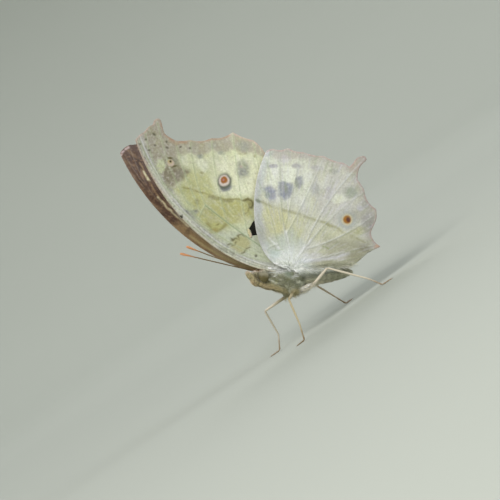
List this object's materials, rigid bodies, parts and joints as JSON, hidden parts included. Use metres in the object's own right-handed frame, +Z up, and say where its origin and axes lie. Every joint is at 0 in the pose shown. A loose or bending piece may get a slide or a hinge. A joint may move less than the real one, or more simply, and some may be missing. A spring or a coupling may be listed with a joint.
{
  "type": "butterfly model",
  "caption": "Pale nymphalid butterfly at rest with closed wings, a still life-size model standing on its walking legs.",
  "frame": {"origin": "on the floor under the middle of the model's box, with the soles at Z = 0", "axes": "head towards -X, left side towards -Y, +Z up"},
  "size_m": [0.0434, 0.02, 0.0544],
  "materials": {
    "wing": "satin scales with a faint pearl sheen",
    "body": "matt hair and scales",
    "palp": "matt hair",
    "eye": "glossy facets",
    "antenna": "satin",
    "leg": "matt scales"
  },
  "bodies": {
    "root": {"head": "body", "thorax": "body", "abdomen": "body", "eye_L": "eye", "eye_R": "eye", "palp_L": "palp", "palp_R": "palp", "foreleg_L": "palp", "foreleg_R": "palp", "antenna_L": "antenna", "antenna_R": "antenna", "forewing_L": "wing", "forewing_R": "wing", "hindwing_L": "wing", "hindwing_R": "wing", "midleg_L": "leg", "midleg_R": "leg", "hindleg_L": "leg", "hindleg_R": "leg"}
  },
  "joints": []
}
